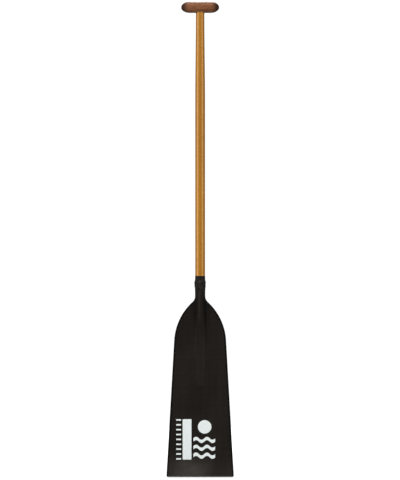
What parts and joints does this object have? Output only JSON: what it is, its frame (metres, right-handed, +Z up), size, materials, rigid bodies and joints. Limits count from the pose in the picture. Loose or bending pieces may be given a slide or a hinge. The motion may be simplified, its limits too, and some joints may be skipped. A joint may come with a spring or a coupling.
{
  "type": "single blade paddle",
  "caption": "Single blade racing paddle with a flat carbon blade, a round laminated wooden shaft and a shaped wooden T-grip.",
  "frame": {"origin": "middle of the blade's tip, on the shaft's axis", "axes": "+Z up the shaft towards the grip, +X across the blade, -Y out of the printed face"},
  "size_m": [0.18, 0.032, 1.27],
  "materials": {
    "carbon": "satin woven carbon laminate",
    "rail_laminate": "gloss",
    "core_foam": "matt closed-cell foam",
    "spine_wood": "sawn",
    "tube_laminate": "satin",
    "glue": "cured resin",
    "shaft_wood": "gloss varnish",
    "grip_wood": "satin oil",
    "binding": "satin wound tow",
    "sleeve": "satin",
    "print_film": "satin"
  },
  "bodies": {
    "root": {"front_skin": "carbon", "back_skin": "carbon", "left_edge_rail": "rail_laminate", "right_edge_rail": "rail_laminate", "tip_bar": "rail_laminate", "left_foam_core": "core_foam", "right_foam_core": "core_foam", "spine_block": "spine_wood", "socket_tube": "tube_laminate", "socket_glue": "glue", "grip_glue": "glue", "mouth_bead": "glue", "shaft_front_stave": "shaft_wood", "shaft_core_stave": "shaft_wood", "shaft_back_stave": "shaft_wood", "grip_body": "grip_wood", "upper_band": "binding", "lower_band": "binding", "shrunk_sleeve": "sleeve", "printed_stripe": "print_film", "printed_sun": "print_film", "printed_wave_low": "print_film", "printed_wave_middle": "print_film", "printed_wave_high": "print_film", "printed_dash_1": "print_film", "printed_dash_2": "print_film", "printed_dash_3": "print_film", "printed_dash_4": "print_film", "printed_dash_5": "print_film", "printed_dash_6": "print_film", "printed_dash_7": "print_film", "printed_dash_8": "print_film", "printed_dash_9": "print_film"}
  },
  "joints": []
}
